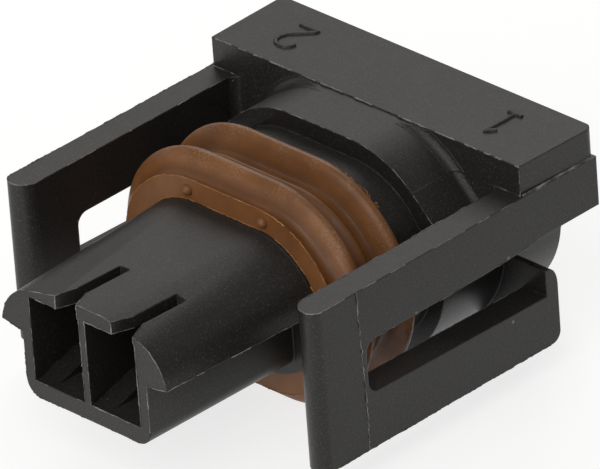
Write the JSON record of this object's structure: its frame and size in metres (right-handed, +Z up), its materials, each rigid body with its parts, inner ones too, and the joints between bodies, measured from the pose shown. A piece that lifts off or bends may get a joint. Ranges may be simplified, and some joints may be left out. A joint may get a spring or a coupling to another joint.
{
  "type": "sealed automotive connector",
  "caption": "Sealed automotive wire connector with a slotted nose, a ribbed perimeter seal, a windowed latch arm at each side and a wide bar across the rear.",
  "frame": {"origin": "middle of the bounding box in plan, at the lowest point of the seal ribs", "axes": "+X across the latch arms, +Y from the mating nose to the wire end, +Z up towards the wide bar"},
  "size_m": [0.027, 0.0316, 0.0154],
  "materials": {
    "housing_black": "fine matt moulded nylon with lighter flash along its edges",
    "seal_rubber": "satin silicone rubber",
    "terminal_tin": "dull tin plate",
    "spring_steel": "satin spring steel"
  },
  "bodies": {
    "root": {"housing": "housing_black", "interface_seal": "seal_rubber", "terminal_left": "terminal_tin", "terminal_right": "terminal_tin", "contact_spring_left": "spring_steel", "contact_spring_right": "spring_steel", "wire_seal_left": "seal_rubber", "wire_seal_right": "seal_rubber"}
  },
  "joints": []
}
